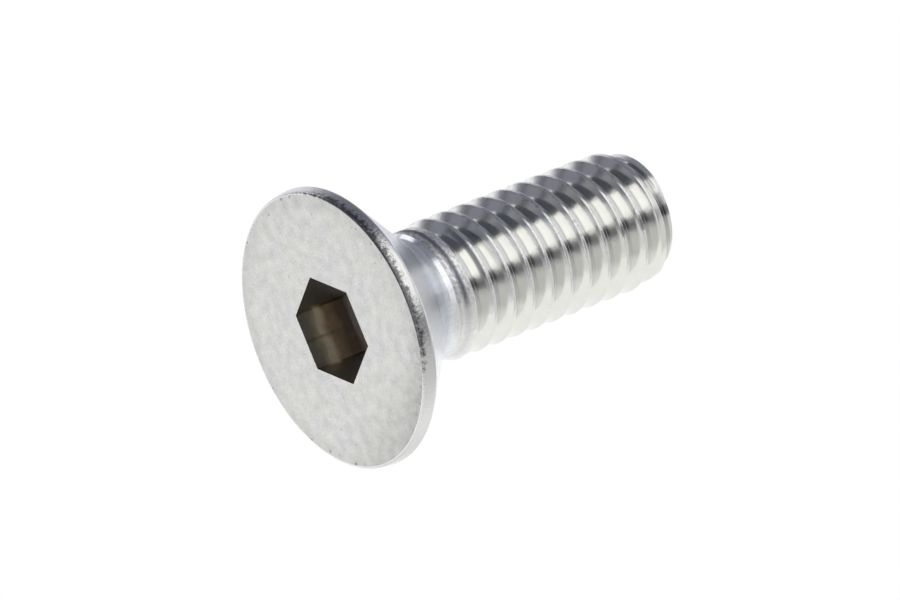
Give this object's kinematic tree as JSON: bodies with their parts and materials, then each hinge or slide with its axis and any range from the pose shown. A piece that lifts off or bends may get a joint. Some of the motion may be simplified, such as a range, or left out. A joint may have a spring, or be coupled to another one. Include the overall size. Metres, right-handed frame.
{
  "type": "countersunk socket screw",
  "caption": "Countersunk hexagon socket screw with a flat face, straight rim land, conical seat, plain neck and a right-hand rolled thread to a chamfered point.",
  "frame": {"origin": "centre of the flat head face, which the screw stands on", "axes": "+Z along the screw's axis from the head face to the point; the hexagon's corners lie on the X axis; +Y completes the right-handed frame"},
  "size_m": [0.0118, 0.0118, 0.0159],
  "materials": {
    "stainless_steel": "tumbled satin stainless steel, bright on the rolled thread"
  },
  "bodies": {
    "root": {"screw": "stainless_steel"}
  },
  "joints": []
}
